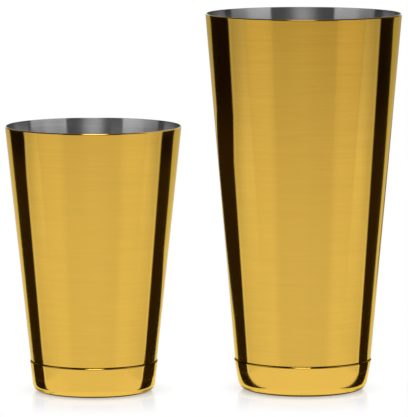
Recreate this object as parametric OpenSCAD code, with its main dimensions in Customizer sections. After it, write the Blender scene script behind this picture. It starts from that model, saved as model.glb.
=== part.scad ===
// Two-piece weighted cocktail shaker: a large and a small tapered tin, standing side by side.
// Millimetres, +Z up. Both tins stand on z = 0 with the fronts of their mouths in line, and the origin lies
// midway across the pair.

/* [Large tin] */
// Outside diameter of the large tin's mouth
large_mouth_d = 92; // [84:0.5:98]
// Height of the large tin from its foot to its rim
large_height = 177.4; // [150:0.2:200]
// Outside diameter of the large cup's wall at the top of its base cap
large_seam_d = 64.1; // [60:0.1:70]
// Height of the large base cap
large_cap_h = 14.6; // [13:0.1:20]
// Outside diameter of the flat ring that the large tin stands on
large_foot_d = 52; // [46:0.1:56]
// Outside radius between the large base cap's foot and its side
large_corner_r = 4.6; // [3:0.1:6]

/* [Small tin] */
// Outside diameter of the small tin's mouth
small_mouth_d = 82.6; // [76:0.2:88]
// Height of the small tin from its foot to its rim
small_height = 125; // [105:0.5:145]
// Outside diameter of the small cup's wall at the top of its base cap
small_seam_d = 59.4; // [56:0.1:64]
// Height of the small base cap
small_cap_h = 14.4; // [13:0.1:20]
// Outside diameter of the flat ring that the small tin stands on
small_foot_d = 50.2; // [44:0.1:53]
// Outside radius between the small base cap's foot and its side
small_corner_r = 3.8; // [3:0.1:5]

/* [Sheet] */
// Thickness of the drawn cups
cup_wall = 0.6; // [0.5:0.05:1]
// Thickness of the drawn base caps
cap_wall = 0.5; // [0.4:0.05:0.8]
// How far a base cap's upper edge stands out past the cup's wall
cap_proud = 0.4; // [0.2:0.05:0.5]
// Outside radius between a cup's floor and its heel
heel_r = 5; // [3:0.5:6]
// Height of bare heel above a base cap's edge
groove_h = 0.1; // [0.1:0.1:0.6]
// Height of the joggle by which a cup's wall steps in to its heel
joggle_h = 0.3; // [0.3:0.1:1]
// Outside radius of a sheet's rounded edge, as a share of the sheet's thickness
edge_share = 1.25; // [0.8:0.05:1.5]
// Inside radius of a sheet's rounded edge, as a share of the sheet's thickness
lip_share = 0.2; // [0.1:0.05:0.25]

/* [Base] */
// Depth of the recessed panel under a base cap
panel_depth = 0.5; // [0.2:0.1:1]
// Width of the flat ring that a tin stands on
foot_ring_w = 3.5; // [2:0.5:6]
// Thickness of a weight
weight_h = 4; // [2:0.5:5]
// How far a weight's edge lies inside the outside of the foot ring
weight_inset = 1.5; // [1:0.5:4]
// Chamfer on a weight's edges
weight_chamfer = 0.5; // [0.2:0.1:1]
// Thickness of the adhesive between a weight and the cup's floor
bond_h = 0.3; // [0.1:0.1:0.6]
// Bare margin of a weight's top around its adhesive
bond_margin = 1; // [0.5:0.5:3]
// Gap between a base cap's side and the cup's heel, which the seal fills
seal_gap = 0.15; // [0.1:0.05:0.3]
// Height of the seal
seal_h = 4; // [2:0.5:5]
// Depth of the seal's top below a base cap's edge
seal_depth = 0.5; // [0.4:0.1:1]

/* [Set] */
// Gap between the rims of the two tins
rim_gap = 11.2; // [2:0.2:60]

/* [Hidden] */

gold = [0.84, 0.68, 0.32];
steel = [0.62, 0.62, 0.61];
adhesive = [0.25, 0.24, 0.22];

// Facets round a revolve, and straight steps along an arc of a profile and along each arc of a sheet's edge
$fn = 128;
arc_steps = 10;
edge_steps = 6;

// Bodies of the two tins: mouth, height, seam, cap height, foot, corner radius and place of the axis
set_w = small_mouth_d + rim_gap + large_mouth_d;
large_tin = [
    large_mouth_d, large_height, large_seam_d, large_cap_h, large_foot_d, large_corner_r,
    [(set_w - large_mouth_d) / 2, 0, 0]
];
small_tin = [
    small_mouth_d, small_height, small_seam_d, small_cap_h, small_foot_d, small_corner_r,
    [(small_mouth_d - set_w) / 2, (small_mouth_d - large_mouth_d) / 2, 0]
];
function mouth_r(tin) = tin[0] / 2;
function height(tin) = tin[1];
function seam_r(tin) = tin[2] / 2;
function cap_h(tin) = tin[3];
function foot_r(tin) = tin[4] / 2;
function corner_r(tin) = tin[5];
function place(tin) = tin[6];

// Heights of the stack in the base, from the foot up
weight_z = panel_depth + cap_wall;
bond_z = weight_z + weight_h;
floor_z = bond_z + bond_h;

// Plane geometry, with points as [radius, height]
function polar(angle) = [cos(angle), sin(angle)];
function arc(centre, radius, start, end) =
    [for (i = [0:arc_steps]) centre + radius * polar(start + (end - start) * i / arc_steps)];

// Angle from a circle's centre to where a line from a point touches it, on one side or the other
function touch_angle(centre, radius, point, side) =
    let (reach = point - centre)
    atan2(reach[1], reach[0]) + side * acos(radius / norm(reach));

// Radius at a height on the line through a point whose normal points out at the angle lean,
// moved inwards by inset
function line_r(point, lean, height, inset) =
    point[0] - (inset + sin(lean) * (height - point[1])) / cos(lean);

// A path moved to its left by a distance, with each corner mitred
function left_of(from, to) = let (step = (to - from) / norm(to - from)) [-step[1], step[0]];
function moved_point(path, i, distance) =
    let (before = max(i - 1, 0), after = min(i, len(path) - 2))
    let (first = left_of(path[before], path[before + 1]))
    let (second = left_of(path[after], path[after + 1]))
    path[i] + distance * (first + second) / (1 + first * second);
function moved(path, distance) = [for (i = [0:len(path) - 1]) moved_point(path, i, distance)];

// Rounded edge of a sheet: a wide arc over its outside runs into a tight arc over its inside.
// The tight arc's centre lies outwards and upwards of the wide one's, by edge_out and edge_rise.
function outer_r(wall) = wall * edge_share;
function inner_r(wall) = wall * lip_share;
function edge_out(wall) = outer_r(wall) + inner_r(wall) - wall;
function edge_rise(wall) = sqrt((outer_r(wall) - inner_r(wall)) ^ 2 - edge_out(wall) ^ 2);
function edge_turn(wall) = atan2(edge_rise(wall), edge_out(wall));

// Height of the edge's top above the wide arc's centre, for a sheet whose outside faces the angle lean
function edge_top(wall, lean) = inner_r(wall) + edge_out(wall) * sin(lean) + edge_rise(wall) * cos(lean);

// Points of the edge, on from the point where the sheet's outside ends
function edge_arc(centre, radius, start, end) =
    [for (i = [1:edge_steps]) centre + radius * polar(start + (end - start) * i / edge_steps)];
function rounded_edge(point, lean, wall) =
    let (outer = point - outer_r(wall) * polar(lean), turn = lean + edge_turn(wall))
    let (inner = outer + edge_out(wall) * polar(lean) + edge_rise(wall) * polar(lean + 90))
    concat(
        edge_arc(outer, outer_r(wall), lean, turn),
        edge_arc(inner, inner_r(wall), turn, lean + 180)
    );

// Outline of a sheet that runs along a path from the axis, lies to its left and ends in a rounded edge
function sheet(path, lean, wall) =
    let (inside = moved(path, wall), last = len(path) - 1)
    concat(path, rounded_edge(path[last], lean, wall), [for (i = [last - 1:-1:0]) inside[i]]);

// Side of a base cap: a line from its upper edge that touches the corner radius at the foot
function cap_edge(tin) = [seam_r(tin) + cap_proud, cap_h(tin)];
function corner_centre(tin) = [foot_r(tin), corner_r(tin)];
function cap_lean(tin) = touch_angle(corner_centre(tin), corner_r(tin), cap_edge(tin), -1);
function cap_side(tin, height, inset) = [line_r(cap_edge(tin), cap_lean(tin), height, inset), height];

// Outside of a base cap, from the middle of the recessed panel to the upper edge
function cap_path(tin) =
    let (ring_r = foot_r(tin) - foot_ring_w, lean = cap_lean(tin))
    let (edge_h = cap_h(tin) - edge_top(cap_wall, lean) + outer_r(cap_wall) * sin(lean))
    concat(
        [[0, panel_depth], [ring_r - panel_depth, panel_depth], [ring_r, 0]],
        arc(corner_centre(tin), corner_r(tin), -90, lean),
        [cap_side(tin, edge_h, 0)]
    );

// Wall of a cup: a line from the seam that touches the rim's wide arc, whose height takes up the wall's lean
function seam(tin) = [seam_r(tin), cap_h(tin)];
function rim_centre_at(tin, lean) =
    [mouth_r(tin) - outer_r(cup_wall), height(tin) - edge_top(cup_wall, lean)];
function lean_from(tin, centre) = touch_angle(centre, outer_r(cup_wall), seam(tin), 1);
function rim_centre(tin) = rim_centre_at(tin, lean_from(tin, rim_centre_at(tin, 0)));
function wall_lean(tin) = lean_from(tin, rim_centre(tin));

// Outside of a cup, from the middle of its floor round the heel and over the joggle to the rim
function cup_path(tin) =
    let (lean = cap_lean(tin), heel_inset = cap_wall + seal_gap)
    let (heel_centre = cap_side(tin, floor_z + heel_r, heel_inset + heel_r))
    let (heel_top = cap_h(tin) + groove_h, wall_z = heel_top + joggle_h)
    concat(
        [[0, floor_z]],
        arc(heel_centre, heel_r, -90, lean),
        [
            cap_side(tin, heel_top, heel_inset),
            [line_r(seam(tin), wall_lean(tin), wall_z, 0), wall_z],
            rim_centre(tin) + outer_r(cup_wall) * polar(wall_lean(tin))
        ]
    );

// Bodies of revolution, each on its tin's axis
module cup(tin) {
    translate(place(tin)) rotate_extrude() polygon(sheet(cup_path(tin), wall_lean(tin), cup_wall));
}

module base_cap(tin) {
    translate(place(tin)) rotate_extrude() polygon(sheet(cap_path(tin), cap_lean(tin), cap_wall));
}

module weight(tin) {
    weight_r = foot_r(tin) - weight_inset;
    inner_r = weight_r - weight_chamfer;
    half = [
        [0, weight_z], [inner_r, weight_z], [weight_r, weight_z + weight_chamfer],
        [weight_r, bond_z - weight_chamfer], [inner_r, bond_z], [0, bond_z]
    ];
    translate(place(tin)) rotate_extrude() polygon(half);
}

module weight_bond(tin) {
    bond_r = foot_r(tin) - weight_inset - weight_chamfer - bond_margin;
    translate(place(tin) + [0, 0, bond_z]) cylinder(r = bond_r, h = bond_h);
}

module seam_seal(tin) {
    top = cap_h(tin) - seal_depth;
    bottom = top - seal_h;
    inset = cap_wall + seal_gap;
    band = [
        cap_side(tin, bottom, inset), cap_side(tin, bottom, cap_wall),
        cap_side(tin, top, cap_wall), cap_side(tin, top, inset)
    ];
    translate(place(tin)) rotate_extrude() polygon(band);
}

// Pieces of the large tin
module large_cup() { color(gold) cup(large_tin); }
module large_base_cap() { color(gold) base_cap(large_tin); }
module large_weight() { color(steel) weight(large_tin); }
module large_weight_bond() { color(adhesive) weight_bond(large_tin); }
module large_seam_seal() { color(adhesive) seam_seal(large_tin); }

// Pieces of the small tin
module small_cup() { color(gold) cup(small_tin); }
module small_base_cap() { color(gold) base_cap(small_tin); }
module small_weight() { color(steel) weight(small_tin); }
module small_weight_bond() { color(adhesive) weight_bond(small_tin); }
module small_seam_seal() { color(adhesive) seam_seal(small_tin); }

large_cup();
large_base_cap();
large_weight();
large_weight_bond();
large_seam_seal();
small_cup();
small_base_cap();
small_weight();
small_weight_bond();
small_seam_seal();
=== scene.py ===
"""Two-tin cocktail shaker set: turned cups and base caps, their finishes and a white studio.

The file is laid out as an add-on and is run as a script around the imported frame. Lengths are in metres.
"""

from math import pi, radians
from types import SimpleNamespace

import bpy
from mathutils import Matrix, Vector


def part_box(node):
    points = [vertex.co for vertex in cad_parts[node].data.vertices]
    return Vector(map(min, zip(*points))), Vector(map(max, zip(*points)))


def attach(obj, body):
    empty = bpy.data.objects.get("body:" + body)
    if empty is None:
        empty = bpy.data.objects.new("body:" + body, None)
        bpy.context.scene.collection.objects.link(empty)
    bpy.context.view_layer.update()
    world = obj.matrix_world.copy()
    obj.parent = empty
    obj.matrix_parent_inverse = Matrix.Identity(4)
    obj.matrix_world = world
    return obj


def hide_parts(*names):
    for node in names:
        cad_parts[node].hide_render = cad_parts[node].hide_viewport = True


bl_info = {
    "name": "Cocktail shaker set",
    "version": (1, 0, 0),
    "blender": (4, 5, 0),
    "location": "View3D > Sidebar > Shaker",
    "description": "Builds a two-tin cocktail shaker set and its studio around the packed frame",
    "category": "Object",
}

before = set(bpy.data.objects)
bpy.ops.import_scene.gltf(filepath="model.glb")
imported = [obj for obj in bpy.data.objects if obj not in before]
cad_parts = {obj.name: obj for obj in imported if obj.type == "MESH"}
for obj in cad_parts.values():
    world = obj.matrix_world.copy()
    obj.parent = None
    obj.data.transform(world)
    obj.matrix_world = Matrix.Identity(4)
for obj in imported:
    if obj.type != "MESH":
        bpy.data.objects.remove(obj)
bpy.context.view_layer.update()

MM = 0.001
TINS = ("large", "small")

# Settings that a user would change


def length(name, description, default):
    """A length in metres."""
    return bpy.props.FloatProperty(
        name=name, description=description, default=default, precision=5, subtype="DISTANCE", unit="LENGTH"
    )


def angle(name, description, degrees):
    """An angle, given in degrees and held in radians."""
    return bpy.props.FloatProperty(
        name=name, description=description, default=radians(degrees), subtype="ANGLE", unit="ROTATION"
    )


def share(name, description, default, most=1.0):
    """A share from 0 to 1, or to the most given."""
    return bpy.props.FloatProperty(
        name=name, description=description, default=default, min=0.0, max=most, subtype="FACTOR"
    )


def brightness(name, description, default):
    """A level of light, where 1 shows as white."""
    return bpy.props.FloatProperty(name=name, description=description, default=default, min=0.0)


def power(name, description, watts):
    """The power of a lamp."""
    return bpy.props.FloatProperty(name=name, description=description, default=watts, min=0.0, unit="POWER")


def linear(shade):
    """A screen value from 0 to 255 as a linear one."""
    part = shade / 255
    return part / 12.92 if part <= 0.04045 else ((part + 0.055) / 1.055) ** 2.4


def colour(name, description, *shades):
    """A colour, given as screen values from 0 to 255 and held as linear ones."""
    default = [linear(shade) for shade in shades]
    return bpy.props.FloatVectorProperty(
        name=name, description=description, default=default, min=0.0, max=1.0, subtype="COLOR"
    )


def width_of(node):
    low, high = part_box(node)
    return high.x - low.x


def axis_of(node):
    low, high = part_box(node)
    return (low + high) / 2


def top_of(node):
    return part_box(node)[1].z


def tin_sizes(tin, seam_d, foot_d, corner_r):
    """The sizes of one tin, as the annotations of a property group."""
    cup, cap = f"{tin}_cup", f"{tin}_base_cap"
    return {
        "mouth_d": length("Mouth diameter", "Outside diameter of the mouth", width_of(cup)),
        "height": length("Height", "Height from the foot to the rim", top_of(cup)),
        "seam_d": length("Seam diameter", "Outside diameter of the wall at the seam", seam_d),
        "cap_h": length("Cap height", "Height of the base cap", top_of(cap)),
        "foot_d": length("Foot diameter", "Outside diameter of the ring that the tin stands on", foot_d),
        "corner_r": length("Corner radius", "Outside radius between the foot and the cap's side", corner_r),
        "axis_x": length("Axis X", "Place of the tin's axis along X", axis_of(cup).x),
        "axis_y": length("Axis Y", "Place of the tin's axis along Y", axis_of(cup).y),
    }


class LargeTinSizes(bpy.types.PropertyGroup):
    """Sizes of the large tin."""

    __annotations__ = tin_sizes("large", seam_d=64.1 * MM, foot_d=52 * MM, corner_r=4.6 * MM)


class SmallTinSizes(bpy.types.PropertyGroup):
    """Sizes of the small tin."""

    __annotations__ = tin_sizes("small", seam_d=59.4 * MM, foot_d=50.2 * MM, corner_r=3.8 * MM)


class SheetSizes(bpy.types.PropertyGroup):
    """Sizes of the drawn sheet that both tins are made of."""

    cup_wall: length("Cup wall", "Thickness of the drawn cups", 0.6 * MM)
    cap_wall: length("Cap wall", "Thickness of the drawn base caps", 0.5 * MM)
    cap_proud: length("Cap proud", "How far a cap's upper edge stands out past the cup's wall", 0.4 * MM)
    heel_r: length("Heel radius", "Outside radius between a cup's floor and its heel", 5 * MM)
    floor_h: length("Floor height", "Height of the underside of a cup's floor", top_of("large_weight_bond"))
    groove_h: length("Groove height", "Height of bare heel above a base cap's edge", 0.1 * MM)
    joggle_h: length("Joggle height", "Height of the step from a cup's heel out to its wall", 0.3 * MM)
    edge_share: share("Edge share", "Outside radius of a sheet's edge over its thickness", 1.25, most=2.0)
    lip_share: share("Lip share", "Inside radius of a sheet's edge over its thickness", 0.2, most=0.5)
    seal_gap: length("Seal gap", "Gap between a base cap's side and the cup's heel", 0.15 * MM)
    panel_depth: length("Panel depth", "Depth of the recessed panel under a base cap", 0.5 * MM)
    foot_ring_w: length("Foot ring width", "Width of the flat ring that a tin stands on", 3.5 * MM)
    press_r: length("Press radius", "Radius left by the press at the panel and the joggle", 0.2 * MM)


class FinishSettings(bpy.types.PropertyGroup):
    """Colours and surface of the metals and the adhesive."""

    gold: colour("Gold", "Colour of the plating", 228, 184, 79)
    gold_edge: colour("Gold at a glance", "Tint of the plating where it is seen edge on", 251, 240, 186)
    steel: colour("Steel", "Colour of the bare steel inside the cups", 216, 216, 217)
    weight: colour("Weight", "Colour of the steel weights", 150, 150, 152)
    adhesive: colour("Adhesive", "Colour of the cured adhesive", 92, 82, 66)
    cup_roughness: share("Cup roughness", "Roughness of the brushed plating on the cups", 0.175)
    rim_roughness: share("Rim roughness", "Roughness of the polished plating on the cups' rims", 0.1)
    cap_roughness: share("Cap roughness", "Roughness of the polished plating on the base caps", 0.11)
    steel_roughness: share("Steel roughness", "Roughness of the brushed steel inside", 0.18)
    # Painted shade on the base caps' edges
    edge_shade: share("Edge shade", "Lightness of the plating on the caps' edges beside the rest", 0.45)
    # Painted shade in the seams
    seam_shade: share("Seam shade", "Lightness of the plating in the seams beside the rest", 0.3)
    brushing: share("Brushing", "How much more the brushed metal scatters up and down than sideways", 1.0)


class StudioSettings(bpy.types.PropertyGroup):
    """Camera, floor and light."""

    camera_aside: length("Camera offset", "Distance of the camera to the right of the middle", 0.26 * MM)
    camera_back: length("Camera distance", "Distance of the camera in front of the large tin's axis", 1.9)
    camera_up: length("Camera height", "Height of the camera above the table", 0.3017)
    camera_tilt: angle("Camera tilt", "Angle by which the camera looks down", 6.495)
    lens_mm: bpy.props.FloatProperty(
        name="Lens",
        description="Focal length of the camera",
        default=350.9,
        subtype="DISTANCE_CAMERA",
        unit="CAMERA",
    )
    floor_reach: length("Floor reach", "Distance from the middle of the white floor to its sides", 3.0)
    fill: brightness("Fill", "Level of the soft light that falls on the floor from all round", 1.04)
    large_cup_lamp: power("Lamp of the large cup", "Power of the softbox that lights the large cup", 1.9)
    small_cup_lamp: power("Lamp of the small cup", "Power of the softbox that lights the small cup", 5.2)
    cap_lamp: power("Lamp of the base caps", "Power of the softbox that lights both base caps", 14.0)


class ShakerSettings(bpy.types.PropertyGroup):
    """All settings of the set."""

    large: bpy.props.PointerProperty(type=LargeTinSizes, name="Large tin")
    small: bpy.props.PointerProperty(type=SmallTinSizes, name="Small tin")
    sheet: bpy.props.PointerProperty(type=SheetSizes, name="Sheet")
    finish: bpy.props.PointerProperty(type=FinishSettings, name="Finish")
    studio: bpy.props.PointerProperty(type=StudioSettings, name="Studio")


# Node trees written as sums


class Wire:
    """An output of a node that takes part in sums, where each step of a sum adds a node to its tree."""

    def __init__(self, socket):
        self.socket = socket

    def __add__(self, other):
        return calc("ADD", self, other)

    def __sub__(self, other):
        return calc("SUBTRACT", self, other)

    def __mul__(self, other):
        return calc("MULTIPLY", self, other)

    def __truediv__(self, other):
        return calc("DIVIDE", self, other)

    def __radd__(self, other):
        return calc("ADD", other, self)

    def __rsub__(self, other):
        return calc("SUBTRACT", other, self)

    def __rmul__(self, other):
        return calc("MULTIPLY", other, self)

    def __rtruediv__(self, other):
        return calc("DIVIDE", other, self)


def plug(pin, value):
    """Joins a wire to an input, or sets the input to a plain value."""
    if isinstance(value, Wire):
        pin.id_data.links.new(value.socket, pin)
    else:
        pin.default_value = value


def add(tree, kind, inputs=None, **settings):
    """Adds a node of a kind to a tree, with its settings, and its inputs by name or number."""
    node = tree.nodes.new(kind)
    for name, value in settings.items():
        setattr(node, name, value)
    for key, value in (inputs or {}).items():
        plug(node.inputs[key], value)
    return node


def out(node, key=0):
    return Wire(node.outputs[key])


def calc(operation, *values):
    """One step of a sum. At least one of its values is a wire, which says in which tree it is."""
    tree = next(value.socket.id_data for value in values if isinstance(value, Wire))
    return out(add(tree, "ShaderNodeMath", dict(enumerate(values)), operation=operation))


def vector(tree, x, y, z):
    return out(add(tree, "ShaderNodeCombineXYZ", {0: x, 1: y, 2: z}))


def parts_of(wire):
    """The X, Y and Z of a vector."""
    node = add(wire.socket.id_data, "ShaderNodeSeparateXYZ", {0: wire})
    return [out(node, i) for i in range(3)]


def ramp(value, low, high, start=0.0, end=1.0, smooth=True):
    """start up to low, end from high, and a smooth or straight run between."""
    kind = "SMOOTHSTEP" if smooth else "LINEAR"
    inputs = {0: value, 1: low, 2: high, 3: start, 4: end}
    return out(add(value.socket.id_data, "ShaderNodeMapRange", inputs, interpolation_type=kind))


def band(value, low, high, soft):
    """1 between low and high, and 0 outside, with edges that are soft wide."""
    half = soft / 2
    return ramp(value, low - half, low + half) * ramp(value, high - half, high + half, 1.0, 0.0)


def arrange(tree):
    """Sets the nodes out in columns, each to the right of what it takes."""
    column = {}
    for _ in tree.nodes:
        for link in tree.links:
            step = column.get(link.from_node, 0) + 1
            column[link.to_node] = max(column.get(link.to_node, 0), step)
    filled = {}
    for node in tree.nodes:
        place = column.get(node, 0)
        filled[place] = filled.get(place, -1) + 1
        node.location = (place * 220, -filled[place] * 180)


# Shapes: outlines of the sheet, turned round an axis by geometry nodes

SEGMENTS = 192
ARC_POINTS = 14
SUPPORT = 0.3 * MM
MERGE = 0.001 * MM
TURNED_MAP = "turned"
FILLET = "fillet"
ZONE = "zone"
SEAM, WALL, EDGE, INSIDE = 0.0, 1.0, 2.0, 3.0
ZONE_SLACK = 0.1


def finish_label(place):
    """The label of the input for the finish of a place on a piece."""
    return f"{place.capitalize()} finish"


def geometry_tree(name, sizes, places):
    """A tree with inputs for sizes, as (settings, names of properties), and for the finish of each place."""
    tree = bpy.data.node_groups.new(name, "GeometryNodeTree")
    tree.is_modifier = True
    labels = {}
    for settings, names in sizes:
        for key in names:
            setting = settings.bl_rna.properties[key]
            pin = tree.interface.new_socket(setting.name, in_out="INPUT", socket_type="NodeSocketFloat")
            pin.subtype = setting.subtype
            pin.description = setting.description
            labels[key] = setting.name
    for key in places:
        labels[key] = finish_label(key)
        tree.interface.new_socket(labels[key], in_out="INPUT", socket_type="NodeSocketMaterial")
    tree.interface.new_socket("Piece", in_out="OUTPUT", socket_type="NodeSocketGeometry")
    given = add(tree, "NodeGroupInput")
    return tree, SimpleNamespace(**{key: out(given, label) for key, label in labels.items()})


def sine(wire):
    return calc("SINE", wire)


def cosine(wire):
    return calc("COSINE", wire)


def touch_angle(centre, radius, point, side):
    """Angle from a circle's centre to where a line from a point touches it, on one side or the other."""
    reach_r, reach_z = point[0] - centre[0], point[1] - centre[1]
    reach = calc("SQRT", reach_r * reach_r + reach_z * reach_z)
    return calc("ARCTAN2", reach_z, reach_r) + side * calc("ARCCOSINE", radius / reach)


def line_at(point, lean, height, inset=0.0):
    """Point at a height on the line through a point whose normal leans, moved inwards by inset."""
    return point[0] - (inset + sine(lean) * (height - point[1])) / cosine(lean), height


def along(point, lean, distance):
    """A point moved up a line whose normal leans."""
    return point[0] - sine(lean) * distance, point[1] + cosine(lean) * distance


def outward(point, lean, distance):
    """A point moved away from a line whose normal leans."""
    return point[0] + cosine(lean) * distance, point[1] + sine(lean) * distance


def left_of(start, end):
    """The direction to the left of a step."""
    step_r, step_z = end[0] - start[0], end[1] - start[1]
    size = calc("SQRT", step_r * step_r + step_z * step_z)
    return 0.0 - step_z / size, step_r / size


def mitred(before, corner, after, distance):
    """A corner of a path moved to its left by a distance."""
    first, second = left_of(before, corner), left_of(corner, after)
    reach = distance / (1.0 + (first[0] * second[0] + first[1] * second[1]))
    return corner[0] + (first[0] + second[0]) * reach, corner[1] + (first[1] + second[1]) * reach


def rounded_edge(wall, given):
    """Shape of a sheet's edge: a wide arc over its outside that runs into a tight arc over its inside. The
    tight arc's centre lies outwards and upwards of the wide one's."""
    outer, inner = wall * given.edge_share, wall * given.lip_share
    reach, outwards = outer - inner, outer + inner - wall
    rise = calc("SQRT", reach * reach - outwards * outwards)
    bend = calc("TANGENT", calc("ARCTAN2", rise, outwards) / 2)
    return SimpleNamespace(wall=wall, outer=outer, inner=inner, outwards=outwards, rise=rise, bend=bend)


def edge_top(edge, lean):
    """Height of a sheet's edge above the centre of its wide arc."""
    return edge.inner + edge.outwards * sine(lean) + edge.rise * cosine(lean)


def edge_corners(edge, start, lean):
    """Corners that the two arcs of a sheet's edge round off, on from the point where its outside ends."""
    outside = along(start, lean, edge.outer * edge.bend)
    inside = along(start, lean, edge.rise + edge.inner / edge.bend)
    return outside, outward(inside, lean, 0.0 - edge.wall)


def cap_side(given):
    """The lean of a base cap's side, and where it touches the corner at the foot."""
    corner = (given.foot_d / 2, given.corner_r)
    edge = (given.seam_d / 2 + given.cap_proud, given.cap_h)
    lean = touch_angle(corner, given.corner_r, edge, -1)
    return edge, lean, outward(corner, lean, given.corner_r)


def choice(tree, kind, values):
    """A field that gives each point its own value by its number."""
    node = add(tree, "GeometryNodeIndexSwitch", data_type=kind)
    for _ in values[2:]:
        node.index_switch_items.new()
    plug(node.inputs[0], out(add(tree, "GeometryNodeInputIndex")))
    for pin, value in zip(list(node.inputs)[1:], values):
        plug(pin, value)
    return out(node)


def store(tree, geometry, name, kind, domain, value):
    """Keeps a field on a geometry under a name."""
    pins = {"Geometry": geometry, "Name": name, "Value": value}
    return out(add(tree, "GeometryNodeStoreNamedAttribute", pins, data_type=kind, domain=domain))


def stored(tree, name):
    return out(add(tree, "GeometryNodeInputNamedAttribute", {"Name": name}, data_type="FLOAT"))


def outline(tree, corners):
    """A curve through corners of (point, fillet radius, zone), with radii along X and heights along Y."""
    line = out(add(tree, "GeometryNodeMeshLine", {"Count": len(corners)}))
    places = choice(tree, "VECTOR", [vector(tree, r, z, 0.0) for (r, z), _, _ in corners])
    line = out(add(tree, "GeometryNodeSetPosition", {"Geometry": line, "Position": places}))
    line = store(tree, line, FILLET, "FLOAT", "POINT", choice(tree, "FLOAT", [c[1] for c in corners]))
    line = store(tree, line, ZONE, "FLOAT", "POINT", choice(tree, "FLOAT", [c[2] for c in corners]))
    curve = out(add(tree, "GeometryNodeMeshToCurve", {"Mesh": line}))
    pins = {"Curve": curve, "Count": ARC_POINTS, "Radius": stored(tree, FILLET), "Limit Radius": True}
    return out(add(tree, "GeometryNodeFilletCurve", pins, mode="POLY"))


def sampled(tree, curve, kind, value, row):
    pins = {"Geometry": curve, "Value": value, "Index": row}
    return out(add(tree, "GeometryNodeSampleIndex", pins, data_type=kind))


def turn(tree, curve, axis_x, axis_y):
    """Turns an outline into a closed skin, mapped in turns round the axis and metres along the outline."""
    rows = out(add(tree, "GeometryNodeAttributeDomainSize", {"Geometry": curve}, component="CURVE"))
    pins = {"Size X": 1.0, "Size Y": 1.0, "Vertices X": SEGMENTS + 1, "Vertices Y": rows}
    skin = out(add(tree, "GeometryNodeMeshGrid", pins))
    number = out(add(tree, "GeometryNodeInputIndex"))
    row = calc("MODULO", number, rows)
    turns = calc("FLOOR", number / rows) / float(SEGMENTS)
    position = out(add(tree, "GeometryNodeInputPosition"))
    radius, height, _ = parts_of(sampled(tree, curve, "FLOAT_VECTOR", position, row))
    distance = sampled(tree, curve, "FLOAT", out(add(tree, "GeometryNodeSplineParameter"), "Length"), row)
    zone = sampled(tree, curve, "FLOAT", stored(tree, ZONE), row)
    skin = store(tree, skin, ZONE, "FLOAT", "POINT", zone)
    pins = {0: vector(tree, turns, distance, 0.0)}
    turned = out(add(tree, "GeometryNodeFieldOnDomain", pins, data_type="FLOAT_VECTOR", domain="POINT"))
    skin = store(tree, skin, TURNED_MAP, "FLOAT2", "CORNER", turned)
    heading = turns * (2 * pi)
    place = vector(tree, axis_x + radius * cosine(heading), axis_y + radius * sine(heading), height)
    skin = out(add(tree, "GeometryNodeSetPosition", {"Geometry": skin, "Position": place}))
    skin = out(add(tree, "GeometryNodeMergeByDistance", {"Geometry": skin, "Distance": MERGE}))
    return out(add(tree, "GeometryNodeSetShadeSmooth", {"Geometry": skin}))


def dressed(tree, skin, finishes):
    """Ends a tree: the skin in its finishes, as (zone that a finish starts at, finish). A face between two
    zones takes the finish of the lower one."""
    skin = out(add(tree, "GeometryNodeRealizeInstances", {"Geometry": skin}))
    for zone, finish in finishes:
        chosen = calc("GREATER_THAN", stored(tree, ZONE), zone - ZONE_SLACK)
        pins = {"Geometry": skin, "Selection": chosen, "Material": finish}
        skin = out(add(tree, "GeometryNodeSetMaterial", pins))
    add(tree, "NodeGroupOutput", {"Piece": skin})
    arrange(tree)
    return tree


CUP_TIN_SIZES = ("mouth_d", "height", "seam_d", "cap_h", "foot_d", "corner_r", "axis_x", "axis_y")
CUP_SHEET_SIZES = (
    "cup_wall", "cap_wall", "cap_proud", "heel_r", "floor_h", "groove_h", "joggle_h", "edge_share",
    "lip_share", "seal_gap", "press_r",
)
CAP_TIN_SIZES = ("seam_d", "cap_h", "foot_d", "corner_r", "axis_x", "axis_y")
CAP_SHEET_SIZES = (
    "cap_wall", "cap_proud", "edge_share", "lip_share", "panel_depth", "foot_ring_w", "press_r",
)


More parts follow.
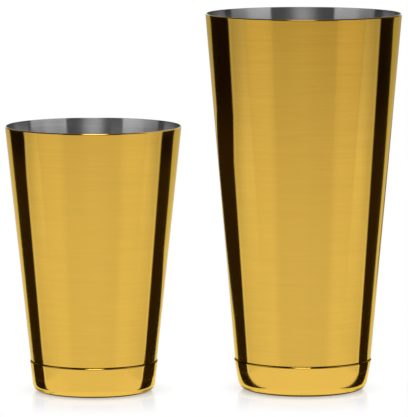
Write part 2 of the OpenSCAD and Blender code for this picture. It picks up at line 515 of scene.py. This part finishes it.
def cup_tree():
    """Cup: from the middle of its floor round the heel, over the joggle, up to the rim and back inside."""
    sizes = ((LargeTinSizes, CUP_TIN_SIZES), (SheetSizes, CUP_SHEET_SIZES))
    tree, given = geometry_tree("Turned cup", sizes, ("seam", "outside", "rim", "inside"))
    edge, cap_lean, _ = cap_side(given)
    inset = given.cap_wall + given.seal_gap
    rim = rounded_edge(given.cup_wall, given)
    floor_top = given.floor_h + given.cup_wall
    heel_top = given.cap_h + given.groove_h
    wall_z = heel_top + given.joggle_h
    rim_r = given.mouth_d / 2 - rim.outer
    seam = (given.seam_d / 2, given.cap_h)
    about = touch_angle((rim_r, given.height - rim.inner - rim.rise), rim.outer, seam, 1)
    rim_centre = (rim_r, given.height - edge_top(rim, about))
    lean = touch_angle(rim_centre, rim.outer, seam, 1)

    floor_edge = line_at(edge, cap_lean, given.floor_h + given.heel_r, inset + given.heel_r)[0] - SUPPORT
    heel = line_at(edge, cap_lean, given.floor_h, inset)
    joggle_low = line_at(edge, cap_lean, heel_top, inset)
    joggle_high = line_at(seam, lean, wall_z)
    rim_side = outward(rim_centre, lean, rim.outer)
    rim_out, rim_in = edge_corners(rim, rim_side, lean)
    wall_low = along(joggle_high, lean, SUPPORT)
    wall_high = along(rim_side, lean, -SUPPORT)
    wall = 0.0 - given.cup_wall
    corners = [
        ((0.0, given.floor_h), 0.0, SEAM),
        ((floor_edge, given.floor_h), 0.0, SEAM),
        (heel, given.heel_r, SEAM),
        (joggle_low, given.press_r, SEAM),
        (joggle_high, given.press_r, WALL),
        (wall_low, 0.0, WALL),
        (wall_high, 0.0, WALL),
        (rim_out, rim.outer, EDGE),
        (rim_in, rim.inner, INSIDE),
        (outward(wall_high, lean, wall), 0.0, INSIDE),
        (outward(wall_low, lean, wall), 0.0, INSIDE),
        (mitred(joggle_low, joggle_high, wall_low, given.cup_wall), given.press_r, INSIDE),
        (mitred(heel, joggle_low, joggle_high, given.cup_wall), given.press_r, INSIDE),
        (line_at(edge, cap_lean, floor_top, inset + given.cup_wall), given.heel_r - given.cup_wall, INSIDE),
        ((floor_edge, floor_top), 0.0, INSIDE),
        ((0.0, floor_top), 0.0, INSIDE),
    ]
    finishes = ((SEAM, given.seam), (WALL, given.outside), (EDGE, given.rim), (INSIDE, given.inside))
    return dressed(tree, turn(tree, outline(tree, corners), given.axis_x, given.axis_y), finishes)


def cap_tree():
    """Base cap: from the middle of its recessed panel over the ring and the corner to the edge, and back."""
    sizes = ((LargeTinSizes, CAP_TIN_SIZES), (SheetSizes, CAP_SHEET_SIZES))
    tree, given = geometry_tree("Turned base cap", sizes, ("outside", "edge"))
    edge, lean, touch = cap_side(given)
    lip = rounded_edge(given.cap_wall, given)
    ring_r = given.foot_d / 2 - given.foot_ring_w
    ring_edge = given.foot_d / 2 - SUPPORT
    panel = (0.0, given.panel_depth)
    panel_edge = (ring_r - given.panel_depth, given.panel_depth)
    ring = (ring_r, 0.0)
    edge_side = line_at(edge, lean, given.cap_h - edge_top(lip, lean) + lip.outer * sine(lean))
    edge_out, edge_in = edge_corners(lip, edge_side, lean)
    side_low = along(touch, lean, SUPPORT)
    side_high = along(edge_side, lean, -SUPPORT)
    wall = 0.0 - given.cap_wall
    corners = [
        (panel, 0.0, WALL),
        (panel_edge, given.press_r, WALL),
        (ring, given.press_r, WALL),
        ((ring_edge, 0.0), 0.0, WALL),
        (line_at(edge, lean, 0.0), given.corner_r, WALL),
        (side_low, 0.0, WALL),
        (side_high, 0.0, WALL),
        (edge_out, lip.outer, EDGE),
        (edge_in, lip.inner, EDGE),
        (outward(side_high, lean, wall), 0.0, WALL),
        (outward(side_low, lean, wall), 0.0, WALL),
        (line_at(edge, lean, given.cap_wall, given.cap_wall), given.corner_r - given.cap_wall, WALL),
        ((ring_edge, given.cap_wall), 0.0, WALL),
        (mitred(panel_edge, ring, (ring_edge, 0.0), given.cap_wall), given.press_r, WALL),
        (mitred(panel, panel_edge, ring, given.cap_wall), given.press_r, WALL),
        ((0.0, given.panel_depth + given.cap_wall), 0.0, WALL),
    ]
    finishes = ((WALL, given.outside), (EDGE, given.edge))
    return dressed(tree, turn(tree, outline(tree, corners), given.axis_x, given.axis_y), finishes)


def turned_piece(name, tree, values):
    """A plain mesh object made by a tree, whose inputs are set by their labels."""
    piece = bpy.data.objects.new(name, bpy.data.meshes.new(name + "_blank"))
    bpy.context.scene.collection.objects.link(piece)
    modifier = piece.modifiers.new("Turned", "NODES")
    modifier.node_group = tree
    for item in tree.interface.items_tree:
        if item.in_out == "INPUT":
            modifier[item.identifier] = values[item.name]
    graph = bpy.context.evaluated_depsgraph_get()
    mesh = bpy.data.meshes.new_from_object(
        piece.evaluated_get(graph), preserve_all_data_layers=True, depsgraph=graph
    )
    piece.modifiers.remove(modifier)
    blank = piece.data
    piece.data = mesh
    bpy.data.meshes.remove(blank)
    mesh.name = name
    if not mesh.polygons:
        raise RuntimeError(f"{name} came out empty")
    mesh.attributes.remove(mesh.attributes[ZONE])
    mesh.materials.pop(index=list(mesh.materials).index(None))
    return piece


def labelled(*groups):
    """The values of property groups by their properties' labels."""
    return {
        item.name: getattr(group, item.identifier) for group in groups for item in group.bl_rna.properties
    }


# Finishes: a turn of a piece runs round a ring of radius NOISE_RING in the noise that draws its marks

NOISE_RING = 1.8
QUARTER_TURN = 0.25
LINE_DEPTH = 0.02 * MM
STEEL_EDGE = (0.8, 0.8, 0.8)


def shader_group(name, inputs, outputs):
    """A shader node group with float or vector inputs and float outputs, and a wire for each input."""
    tree = bpy.data.node_groups.new(name, "ShaderNodeTree")
    for label, kind in inputs.items():
        tree.interface.new_socket(label, in_out="INPUT", socket_type=kind)
    for label in outputs:
        tree.interface.new_socket(label, in_out="OUTPUT", socket_type="NodeSocketFloat")
    given = add(tree, "NodeGroupInput")
    return tree, [out(given, label) for label in inputs]


def noise(tree, place, detail, roughness):
    """Noise stretched to run from about 0 to 1."""
    pins = {"Vector": place, "Scale": 1.0, "Detail": detail, "Roughness": roughness}
    return ramp(out(add(tree, "ShaderNodeTexNoise", pins)), 0.28, 0.72, smooth=False)


def turning_marks():
    """Marks left by brushing a piece as it turns: fine and broad lines round the axis, and a faint haze."""
    tree = bpy.data.node_groups.get("Turning marks")
    if tree:
        return tree
    inputs = {"Place": "NodeSocketVector", "Lines per metre": "NodeSocketFloat"}
    tree, (place, lines) = shader_group("Turning marks", inputs, ("Fine", "Broad", "Haze"))
    x, y, z = parts_of(place)
    fine = noise(tree, vector(tree, x, y, z * lines), 2.0, 0.6)
    broad = noise(tree, vector(tree, x * 0.6, y * 0.6, z * lines * 0.16), 2.0, 0.55)
    haze = noise(tree, vector(tree, x * 1.3, y * 1.3, z * 24.0), 3.0, 0.5)
    add(tree, "NodeGroupOutput", {"Fine": fine, "Broad": broad, "Haze": haze})
    arrange(tree)
    return tree


def turned_place(tree):
    """Place on a turned piece that meets itself after a turn: two values round, one along the outline."""
    turns, distance, _ = parts_of(out(add(tree, "ShaderNodeUVMap", uv_map=TURNED_MAP)))
    heading = turns * (2 * pi)
    return vector(tree, cosine(heading) * NOISE_RING, sine(heading) * NOISE_RING, distance)


def object_place(tree):
    return out(add(tree, "ShaderNodeTexCoord"), "Object")


def mixed(tree, factor, first, second):
    """A colour between two, by a factor."""
    node = add(tree, "ShaderNodeMix", data_type="RGBA", blend_type="MIX")
    for pin, value in zip((node.inputs[0], node.inputs[6], node.inputs[7]), (factor, first, second)):
        plug(pin, value)
    return out(node, 2)


def tint(shade, factor):
    """A colour made lighter or darker, as four values."""
    return (*(min(1.0, part * factor) for part in shade), 1.0)


def darker(shade, lightness):
    return [part * lightness for part in shade]


def new_finish(name):
    """An empty material and its tree."""
    material = bpy.data.materials.new(name)
    material.use_nodes = True
    material.node_tree.nodes.clear()
    return material, material.node_tree


def surfaced(material, surface):
    """Ends a material with the node that makes its surface."""
    tree = material.node_tree
    add(tree, "ShaderNodeOutputMaterial", {"Surface": out(surface)})
    arrange(tree)
    return material


def metal(
    name, shade, edge, roughness, lines, contrast, relief, brushing=0.0, lacquer=0.0, place=turned_place
):
    """Brushed or polished metal, tinted where it is seen edge on, with so many lines to a metre and their
    contrast and relief."""
    material, tree = new_finish(name)
    marks = add(tree, "ShaderNodeGroup", node_tree=turning_marks())
    plug(marks.inputs["Place"], place(tree))
    plug(marks.inputs["Lines per metre"], lines)
    fine, broad, haze = (out(marks, key) for key in ("Fine", "Broad", "Haze"))
    marking = fine * 0.6 + broad * 0.4
    bump = add(tree, "ShaderNodeBump", {"Strength": relief, "Distance": LINE_DEPTH, "Height": marking})
    pins = {
        "Base Color": mixed(tree, marking, tint(shade, 1 - contrast), tint(shade, 1 + contrast)),
        "Metallic": 1.0,
        "Roughness": roughness * (0.86 + 0.2 * marking + 0.08 * haze),
        "Anisotropic": brushing,
        "Anisotropic Rotation": QUARTER_TURN,
        "Specular Tint": (*edge, 1.0),
        "Coat Weight": lacquer,
        "Normal": out(bump),
    }
    surface = add(tree, "ShaderNodeBsdfPrincipled", pins)
    return surfaced(material, surface)


def finish_of(key):
    """The finish with a name, made the first time that it is asked for."""
    name = key.replace("_", " ")
    if name in bpy.data.materials:
        return bpy.data.materials[name]
    looks = bpy.context.scene.shaker.finish
    return FINISHES[key](name, looks)


def worn(**wears):
    """Finishes by the labels of their inputs, from a finish's name for each place."""
    return {finish_label(place): finish_of(finish) for place, finish in wears.items()}


def brushed_gold(name, looks):
    """Plating on the cups' walls."""
    return metal(
        name, looks.gold, looks.gold_edge, roughness=looks.cup_roughness, lines=1200.0, contrast=0.05,
        relief=0.06, brushing=looks.brushing
    )


def polished_gold(name, looks):
    """Plating on the base caps."""
    return metal(
        name, looks.gold, looks.gold_edge, roughness=looks.cap_roughness, lines=2200.0, contrast=0.015,
        relief=0.02, brushing=0.8
    )


def rim_gold(name, looks):
    """Plating on the cups' rims, under a clear lacquer."""
    return metal(
        name, looks.gold, looks.gold_edge, roughness=looks.rim_roughness, lines=4000.0, contrast=0.015,
        relief=0.01, lacquer=1.0
    )


def edge_gold(name, looks):
    """Plating on the base caps' edges, darkened by the edge shade as painted shade at the seam."""
    # Painted shade: colour and edge tint darkened by the edge shade
    shade, edge = darker(looks.gold, looks.edge_shade), darker(looks.gold_edge, looks.edge_shade)
    return metal(name, shade, edge, roughness=looks.cap_roughness, lines=2200.0, contrast=0.015, relief=0.02)


def seam_gold(name, looks):
    """Plating in the groove over a base cap: rougher, and darker as painted shade in the groove."""
    # Painted shade: the plating's colour darkened by the seam shade
    shade = darker(looks.gold, looks.seam_shade)
    return metal(name, shade, looks.gold_edge, roughness=0.4, lines=2200.0, contrast=0.1, relief=0.05)


def bare_steel(name, looks):
    """Steel inside the cups."""
    return metal(
        name, looks.steel, STEEL_EDGE, roughness=looks.steel_roughness, lines=900.0, contrast=0.14,
        relief=0.08, brushing=1.0
    )


def weight_steel(name, looks):
    """Steel of the weights in the bases."""
    return metal(
        name, looks.weight, STEEL_EDGE, roughness=0.4, lines=700.0, contrast=0.1, relief=0.1,
        brushing=0.3, place=object_place
    )


def cured_adhesive(name, looks):
    """Dull adhesive with a faint mottle and ripples."""
    material, tree = new_finish(name)
    x, y, z = parts_of(object_place(tree))
    mottle = noise(tree, vector(tree, x * 260.0, y * 260.0, z * 260.0), 4.0, 0.6)
    ripple = noise(tree, vector(tree, x * 700.0, y * 700.0, z * 1400.0), 2.0, 0.5)
    bump = add(tree, "ShaderNodeBump", {"Strength": 0.3, "Distance": 0.05 * MM, "Height": ripple})
    pins = {
        "Base Color": mixed(tree, mottle, tint(looks.adhesive, 0.8), tint(looks.adhesive, 1.15)),
        "Roughness": 0.5 + 0.2 * mottle,
        "Normal": out(bump),
    }
    surface = add(tree, "ShaderNodeBsdfPrincipled", pins)
    return surfaced(material, surface)


FINISHES = {
    "brushed_gold": brushed_gold,
    "polished_gold": polished_gold,
    "rim_gold": rim_gold,
    "edge_gold": edge_gold,
    "seam_gold": seam_gold,
    "bare_steel": bare_steel,
    "weight_steel": weight_steel,
    "cured_adhesive": cured_adhesive,
}

# Studio: headings are in degrees round from the camera, to the right, and rises in degrees up from level

WHITE = (1.0, 1.0, 1.0, 1.0)
FLAG = (0.022, 0.014, 0.009)
CARD_GAP = 5.1 * MM
CARD_NEAR = -42 * MM
SENSOR_MM = 36.0
LAMP_SIZE = (0.54, 1.1)
LAMP_PLACE = (0.0, -0.746, 1.165)
LAMP_TILT = radians(35.0)
BOUNCES_IN_CUP = 12


def warm_fall(tree, level):
    """A level that falls off as a colour that turns warmer as it darkens."""
    return vector(tree, level, calc("POWER", level, 1.3), calc("POWER", level, 2.2))


def seen_by_metal(tree):
    """1 for rays that metal or glass sends out."""
    path = add(tree, "ShaderNodeLightPath")
    return calc("MAXIMUM", out(path, "Is Glossy Ray"), out(path, "Is Transmission Ray"))


def seen_by_camera(tree):
    return out(add(tree, "ShaderNodeLightPath"), "Is Camera Ray")


def flagged(tree, level, flags, depth=1.0):
    """The colour of a white thing at a level behind dark flags, whose own colour depth scales."""
    return vector(tree, *(level * (1.0 - flags) + flags * (depth * part) for part in FLAG))


def set_behind(tree):
    """What metal shows by direction: a white sweep below with dark flags at its sides, a dim room above."""
    x, y, z = parts_of(out(add(tree, "ShaderNodeTexCoord"), "Generated"))
    heading = calc("DEGREES", calc("ARCTAN2", x, 0.0 - y))
    aside = calc("ABSOLUTE", heading)
    rise = calc("DEGREES", calc("ARCSINE", z))

    # A flag on each side, whose foot leans towards the camera
    lean = ramp(rise, -44.0, -31.0, 8.0, 0.0)
    flags = band(heading, -148.0, lean - 107.5, 2.0) + band(heading, 108.7 - lean, 142.5, 2.0)
    flags = flags * ramp(rise, -46.0, -41.0)

    # The sweep: duller towards the horizon in front, duller behind with a dark strip, bright by the flags
    sweep = (
        ramp(rise, -34.0, -20.0, 1.07, 0.97)
        * (1.0 - ramp(rise, -18.0, -5.0, 0.0, 0.22) * ramp(aside, 43.0, 47.0, 1.0, 0.0))
        * (1.0 - ramp(rise, -24.0, -10.0, 0.0, 0.07) * ramp(aside, 9.0, 18.0, 1.0, 0.0))
        * ramp(aside, 144.0, 150.0, 1.0, 0.8)
        * (1.0 - 0.45 * band(heading, 149.0, 156.0, 2.0))
        + 0.3 * (band(heading, 104.2, 107.7, 1.0) + band(heading, -106.5, -103.0, 1.0))
    )

    # The room's walls: a soft glow in front, bright sides, dark corners and a bright back
    walls = (
        ramp(aside, 0.0, 25.0, 0.42, 0.13) * ramp(aside, 38.0, 40.0, 1.0, 0.0)
        + ramp(aside, 45.0, 97.0, 0.94, 0.33) * band(aside, 39.0, 97.0, 2.0)
        + ramp(aside, 98.0, 128.0, 0.02, 0.08) * ramp(aside, 96.0, 98.0)
        + 0.5 * ramp(aside, 150.0, 160.0) + 0.5 * ramp(aside, 163.0, 170.0)
    )

    # The room's ceiling is dark except behind
    over = ramp(rise, 11.0, 19.0)
    up = ramp(rise, -7.0, -1.0)
    room = walls * (1.0 - over) + ramp(aside, 115.0, 150.0, 0.04, 0.3) * over
    return flagged(tree, sweep * (1.0 - up) + room * up, flags * (1.0 - up))


def make_world(studio):
    """White for the camera, a soft even fill for the floor, and the set with its flags for metal."""
    world = bpy.data.worlds.new("Studio")
    world.use_nodes = True
    world.cycles.sampling_method = "NONE"
    tree = world.node_tree
    tree.nodes.clear()
    camera_sees = seen_by_camera(tree)
    strength = camera_sees + studio.fill * (1.0 - camera_sees)
    plain = add(tree, "ShaderNodeBackground", {"Color": WHITE, "Strength": strength})
    shown = add(tree, "ShaderNodeBackground", {"Color": set_behind(tree), "Strength": 1.0})
    back = add(tree, "ShaderNodeMixShader", {0: seen_by_metal(tree), 1: out(plain), 2: out(shown)})
    add(tree, "ShaderNodeOutputWorld", {"Surface": out(back)})
    arrange(tree)
    bpy.context.scene.world = world


def flat_mesh(name, points):
    """A single face as an object of the stage."""
    mesh = bpy.data.meshes.new(name)
    mesh.from_pydata(points, [], [range(len(points))])
    piece = bpy.data.objects.new(name, mesh)
    bpy.context.scene.collection.objects.link(piece)
    return piece


def run_through(place, points):
    """A length that runs straight from point to point of (place, length), all in millimetres."""
    total = points[0][1] * MM
    for (low, start), (high, end) in zip(points, points[1:]):
        total = total + ramp(place, low * MM, high * MM, 0.0, (end - start) * MM, smooth=False)
    return total


def between(value, low, high):
    """1 between two lengths, and 0 outside, with edges a millimetre wide."""
    return ramp(value - low, -0.5 * MM, 0.5 * MM) * ramp(high - value, -0.5 * MM, 0.5 * MM)


def card_reach(tin):
    """How far the cards beside a tin stand from its axis."""
    return tin.mouth_d / 2 + CARD_GAP


def foot_reach(x, y, tin):
    """How far a place on the floor lies outside the ring that a tin stands on."""
    reach_x, reach_y = x - tin.axis_x, y - tin.axis_y
    return calc("SQRT", reach_x * reach_x + reach_y * reach_y) - tin.foot_d / 2


def flag_foot(x, y, tin, near_side, far_side):
    """The strips of floor between a tin's foot and its cards, and what is painted dark there for metal to
    reflect: the flags' feet and a thin shade round the tin's foot. The feet's sides run through points of
    (distance from the tin's axis along X, place along Y from it), in millimetres."""
    aside = calc("ABSOLUTE", x - tin.axis_x)
    beyond = y - tin.axis_y
    strip = between(aside, tin.foot_d / 2 - 4 * MM, card_reach(tin)) * ramp(beyond, -44 * MM, -34 * MM)
    foot = between(beyond, run_through(aside, near_side), run_through(aside, far_side))
    shade = between(foot_reach(x, y, tin), 2.4 * MM, 4.6 * MM) * ramp(beyond, -18 * MM, -12 * MM, 0.0, 0.7)
    return strip, strip * calc("MAXIMUM", foot, shade)


def floor_for_camera(tree, x, y, tins):
    """White floor with a light shadow round the tins, and a sheen from about the main camera's height."""
    beside = calc("MINIMUM", *(foot_reach(x, y, tin) for tin in tins))
    plain = add(tree, "ShaderNodeBsdfDiffuse", {"Color": (0.96, 0.96, 0.96, 1.0)})
    glow = add(tree, "ShaderNodeEmission", {"Color": WHITE, "Strength": 1.0})
    lit = ramp(beside, 0.0, 16 * MM, 0.6, 1.0) * seen_by_camera(tree)
    shaded = add(tree, "ShaderNodeMixShader", {0: lit, 1: out(plain), 2: out(glow)})
    gloss = add(tree, "ShaderNodeBsdfGlossy", {"Color": WHITE, "Roughness": 0.1})
    glance = out(add(tree, "ShaderNodeFresnel", {"IOR": 1.45}))
    sheen = ramp(beside, 0.0, 14 * MM, 0.75, 0.45) * ramp(beside, 10 * MM, 55 * MM, 1.0, 0.0)
    sheen = sheen * glance * band(glance, 0.32, 0.56, 0.08) * seen_by_camera(tree)
    return out(add(tree, "ShaderNodeMixShader", {0: sheen, 1: out(shaded), 2: out(gloss)}))


def floor_for_metal(tree, x, y, large, small):
    """Metal looks past the floor to the set below, which falls off with distance. On the floor it sees only
    painted marks: glowing strips with the flags' feet painted on them, and painted shade right under the
    tins."""
    # A distance to the sides counts for less
    distance = calc("SQRT", 0.7 * x * x + y * y)
    fall = ramp(distance, 0.42, 0.60, 1.0, 0.78) * ramp(distance, 0.60, 0.80, 1.0, 0.7)
    past = add(tree, "ShaderNodeBsdfTransparent", {"Color": warm_fall(tree, fall)})
    strips, feet = zip(
        flag_foot(
            x, y, large,
            near_side=((23, -28.5), (51, -6.3)),
            far_side=((22, -31), (27, -21), (36.8, -4.5), (51, 25)),
        ),
        flag_foot(
            x, y, small,
            near_side=((24, -20.3), (46.4, -12)),
            far_side=((24, -23), (28, -15.5), (38, 2.5), (46.4, 17)),
        ),
    )
    marked = flagged(tree, 1.02, calc("MAXIMUM", *feet))
    shown = add(tree, "ShaderNodeEmission", {"Color": marked, "Strength": 1.0})
    below = add(tree, "ShaderNodeMixShader", {0: calc("MAXIMUM", *strips), 1: out(past), 2: out(shown)})
    under = (
        ramp(foot_reach(x, y, tin), tin.corner_r * 0.5, tin.corner_r * 0.65, 1.0, 0.0)
        for tin in (large, small)
    )
    shade = add(tree, "ShaderNodeEmission", {"Color": (0.12, 0.1, 0.07, 1.0), "Strength": 1.0})
    return out(add(tree, "ShaderNodeMixShader", {0: calc("MAXIMUM", *under), 1: out(below), 2: out(shade)}))


def floor_finish(shaker):
    """Floor that shows one thing to the camera and another to metal."""
    material, tree = new_finish("white floor")
    material.cycles.emission_sampling = "NONE"
    x, y, _ = parts_of(object_place(tree))
    to_camera = floor_for_camera(tree, x, y, (shaker.large, shaker.small))
    to_metal = floor_for_metal(tree, x, y, shaker.large, shaker.small)
    surface = add(tree, "ShaderNodeMixShader", {0: seen_by_metal(tree), 1: to_camera, 2: to_metal})
    return surfaced(material, surface)


def make_floor(shaker):
    far = shaker.studio.floor_reach
    floor = flat_mesh("floor", [(-far, -far, 0), (far, -far, 0), (far, far, 0), (-far, far, 0)])
    floor.data.materials.append(floor_finish(shaker))


def card_finish(name, card):
    """Glowing card, seen only by metal, that paints a reflection: white with the dark flag as a slanted
    stripe. The stripe's sides run through points of (height, place along Y from the tin's axis), in
    millimetres."""
    material, tree = new_finish(name)
    material.cycles.emission_sampling = "NONE"
    tin = card.tin
    _, y, z = parts_of(object_place(tree))
    beyond = y - tin.axis_y
    near, far = run_through(z, card.near_side), run_through(z, card.far_side)
    stripe = between(beyond, near, far) * ramp(z, card.stop, card.stop + 2 * MM, 1.0, 0.0)
    if card.rear:
        rear = ramp(beyond, 25 * MM, 29 * MM) * band(z, *card.rear, 20 * MM)
        stripe = calc("MAXIMUM", stripe, rear)

    # Painted reflection on the card: duller upwards, backwards and just before the stripe, bright along it,
    # dark at the far top
    level = ramp(z, 90 * MM, 175 * MM, 1.0, 0.68) * ramp(beyond, -40 * MM, -15 * MM, 0.93, 0.87)
    before = beyond - near
    level = level * (1.0 - ramp(before, -16 * MM, -2 * MM) * ramp(z, 50 * MM, 110 * MM, 0.04, 0.2))
    level = level + ramp(z, 40 * MM, 100 * MM, 0.28, 0.1) * band(before, -2.2 * MM, -0.6 * MM, 0.5 * MM)
    dim = ramp(z, tin.height - 1 * MM, tin.height + 2 * MM) * ramp(beyond, 32.5 * MM, 34.5 * MM)
    level = level * (1.0 - dim) + 0.05 * dim

    shown = flagged(tree, level, stripe, ramp(z, *card.deepens, 1.3, 0.5))
    glow = add(tree, "ShaderNodeEmission", {"Color": shown, "Strength": 1.0})
    clear = add(tree, "ShaderNodeBsdfTransparent")
    behind = out(add(tree, "ShaderNodeNewGeometry"), "Backfacing")
    surface = add(tree, "ShaderNodeMixShader", {0: behind, 1: out(glow), 2: out(clear)})
    return surfaced(material, surface)


def make_cards(shaker):
    """A glowing card on each side of each tin, seen only in reflections, so that neither tin shows in the
    other.
    """
    large, small = shaker.large, shaker.small
    cards = {
        "card_left_of_large": SimpleNamespace(
            tin=large, side=-1, top=180 * MM, far=40 * MM,
            near_side=((1, -6.2), (10, -9), (106, -16.7), (128, -21.4), (172, -25.7)),
            far_side=((1, 25), (10, 20), (27, 20), (60, 40), (100, 40), (130, 7), (172, -3)),
            stop=180 * MM, deepens=(106 * MM, 145 * MM), rear=None,
        ),
        "card_right_of_large": SimpleNamespace(
            tin=large, side=1, top=176 * MM, far=40 * MM,
            near_side=((1, -6.6), (10, -10.7), (172, -26.5)),
            far_side=((1, 25), (10, 14.5), (100, 4), (172, -11)),
            stop=180 * MM, deepens=(106 * MM, 145 * MM), rear=(45 * MM, 125 * MM),
        ),
        "card_left_of_small": SimpleNamespace(
            tin=small, side=-1, top=124 * MM, far=40 * MM,
            near_side=((4, -12.6), (14, -12), (100, -20.2), (118, -23.3)),
            far_side=((13, 15), (90, 0), (118, -4.5)),
            stop=125 * MM, deepens=(100 * MM, 117 * MM), rear=None,
        ),
        "card_right_of_small": SimpleNamespace(
            tin=small, side=1, top=200 * MM, far=60 * MM,
            near_side=((4, -11.7), (14, -10.4), (118, -21.5)),
            far_side=((12, 22), (35, 19.5), (63, 4.5), (118, -7)),
            stop=125 * MM, deepens=(100 * MM, 117 * MM), rear=None,
        ),
    }
    for name, card in cards.items():
        x = card.tin.axis_x + card.side * card_reach(card.tin)
        corners = ((CARD_NEAR, 0.0), (CARD_NEAR, card.top), (card.far, card.top), (card.far, 0.0))
        points = [(x, y, z) for y, z in corners]
        piece = flat_mesh(name, points[::card.side])
        piece.data.materials.append(card_finish(name.replace("_", " "), card))
        piece.visible_camera = False
        piece.visible_diffuse = False
        piece.visible_transmission = False
        piece.visible_volume_scatter = False
        piece.visible_shadow = False


def make_lamp(name, watts, lit_pieces):
    """A softbox high in front of the tins that lights some pieces and draws bright spots on their edges."""
    lamp = bpy.data.lights.new(name, "AREA")
    lamp.shape = "RECTANGLE"
    lamp.size, lamp.size_y = LAMP_SIZE
    lamp.energy = watts
    piece = bpy.data.objects.new(name, lamp)
    piece.location = LAMP_PLACE
    piece.rotation_euler = (LAMP_TILT, 0.0, 0.0)
    piece.visible_camera = False
    piece.visible_diffuse = False
    bpy.context.scene.collection.objects.link(piece)
    lit = bpy.data.collections.new(f"lit_by_{name}")
    for lit_piece in lit_pieces:
        lit.objects.link(bpy.data.objects[lit_piece])
    piece.light_linking.receiver_collection = lit


def make_camera(studio):
    camera = bpy.data.cameras.new("camera")
    camera.lens = studio.lens_mm
    camera.sensor_width = SENSOR_MM
    piece = bpy.data.objects.new("camera", camera)
    piece.location = (studio.camera_aside, -studio.camera_back, studio.camera_up)
    piece.rotation_euler = (radians(90.0) - studio.camera_tilt, 0.0, 0.0)
    bpy.context.scene.collection.objects.link(piece)
    bpy.context.scene.camera = piece


# Operators and panel


class MakeCups(bpy.types.Operator):
    """Makes the two cups, gold outside and bare steel inside."""

    bl_idname = "shaker.make_cups"
    bl_label = "Make cups"

    def execute(self, context):
        shaker = context.scene.shaker
        finishes = worn(seam="seam_gold", outside="brushed_gold", rim="rim_gold", inside="bare_steel")
        tree = cup_tree()
        for tin in TINS:
            values = {**labelled(getattr(shaker, tin), shaker.sheet), **finishes}
            piece = turned_piece(f"{tin}_plated_cup", tree, values)
            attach(piece, f"{tin}_tin")
            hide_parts(f"{tin}_cup")
        return {"FINISHED"}


class MakeBaseCaps(bpy.types.Operator):
    """Makes the two base caps in polished gold, with edges darkened as painted shade."""

    bl_idname = "shaker.make_base_caps"
    bl_label = "Make base caps"

    def execute(self, context):
        shaker = context.scene.shaker
        finishes = worn(outside="polished_gold", edge="edge_gold")
        tree = cap_tree()
        for tin in TINS:
            values = {**labelled(getattr(shaker, tin), shaker.sheet), **finishes}
            piece = turned_piece(f"{tin}_plated_cap", tree, values)
            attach(piece, f"{tin}_tin")
            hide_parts(f"{tin}_base_cap")
        return {"FINISHED"}


class DressBaseFilling(bpy.types.Operator):
    """Gives the weights, bonds and seals inside the bases their finishes."""

    bl_idname = "shaker.dress_base_filling"
    bl_label = "Dress base filling"

    def execute(self, context):
        wears = {"weight": "weight_steel", "weight_bond": "cured_adhesive", "seam_seal": "cured_adhesive"}
        for tin in TINS:
            for piece, finish in wears.items():
                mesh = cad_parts[f"{tin}_{piece}"].data
                mesh.materials.clear()
                mesh.materials.append(finish_of(finish))
        return {"FINISHED"}


class SetStage(bpy.types.Operator):
    """Makes the studio: its surroundings, the white floor, the cards, the lamps and the camera."""

    bl_idname = "shaker.set_stage"
    bl_label = "Set stage"

    def execute(self, context):
        shaker = context.scene.shaker
        context.scene.view_settings.view_transform = "Standard"
        context.scene.cycles.glossy_bounces = BOUNCES_IN_CUP
        make_world(shaker.studio)
        make_floor(shaker)
        make_cards(shaker)
        make_lamp("large_cup_softbox", shaker.studio.large_cup_lamp, ("large_plated_cup",))
        make_lamp("small_cup_softbox", shaker.studio.small_cup_lamp, ("small_plated_cup",))
        make_lamp("cap_softbox", shaker.studio.cap_lamp, ("large_plated_cap", "small_plated_cap"))
        make_camera(shaker.studio)
        return {"FINISHED"}


STEPS = (MakeCups, MakeBaseCaps, DressBaseFilling, SetStage)


class ShakerPanel(bpy.types.Panel):
    """The steps that build the set, in order."""

    bl_idname = "VIEW3D_PT_shaker"
    bl_label = "Cocktail shaker set"
    bl_space_type = "VIEW_3D"
    bl_region_type = "UI"
    bl_category = "Shaker"

    def draw(self, context):
        for step in STEPS:
            self.layout.operator(step.bl_idname)


GROUPS = (LargeTinSizes, SmallTinSizes, SheetSizes, FinishSettings, StudioSettings, ShakerSettings)


def register():
    for item in (*GROUPS, *STEPS, ShakerPanel):
        bpy.utils.register_class(item)
    bpy.types.Scene.shaker = bpy.props.PointerProperty(type=ShakerSettings)


def unregister():
    del bpy.types.Scene.shaker
    for item in reversed((*GROUPS, *STEPS, ShakerPanel)):
        bpy.utils.unregister_class(item)


def main():
    register()
    for step in STEPS:
        group, name = step.bl_idname.split(".")
        getattr(getattr(bpy.ops, group), name)()


if __name__ == "__main__":
    main()
